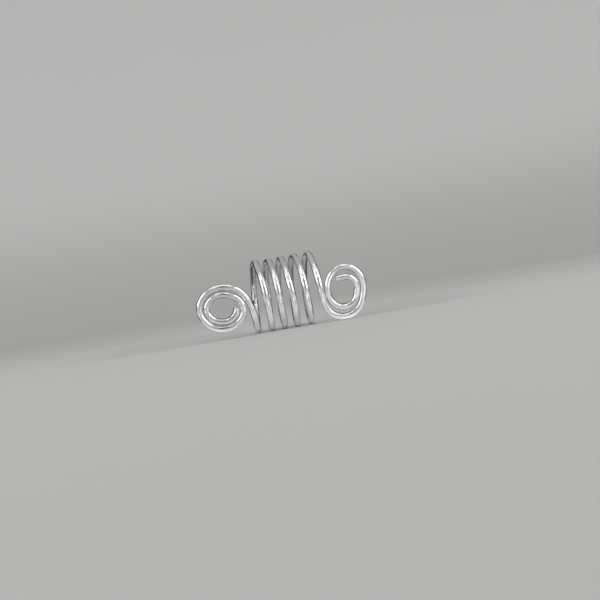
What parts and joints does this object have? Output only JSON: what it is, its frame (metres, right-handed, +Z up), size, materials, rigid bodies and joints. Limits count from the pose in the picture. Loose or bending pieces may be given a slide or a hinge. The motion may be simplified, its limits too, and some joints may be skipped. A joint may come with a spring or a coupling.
{
  "type": "coiled wire hair cuff",
  "caption": "Open coil of soft round wire with a flat scroll rolled at each end, sprung round a braid or lock of hair that passes through the coil, to dress it.",
  "frame": {"origin": "centre of the bounding box's base, on the surface that the cuff lies on", "axes": "+X along the coil, from the left scroll to the right one; +Z up; both scrolls face -Y, turned 11 degrees down"},
  "size_m": [0.0314, 0.0156, 0.0138],
  "materials": {
    "wire": "polished, with fine draw lines and soft satin stretches"
  },
  "bodies": {
    "root": {"wire_cuff": "wire"}
  },
  "joints": []
}
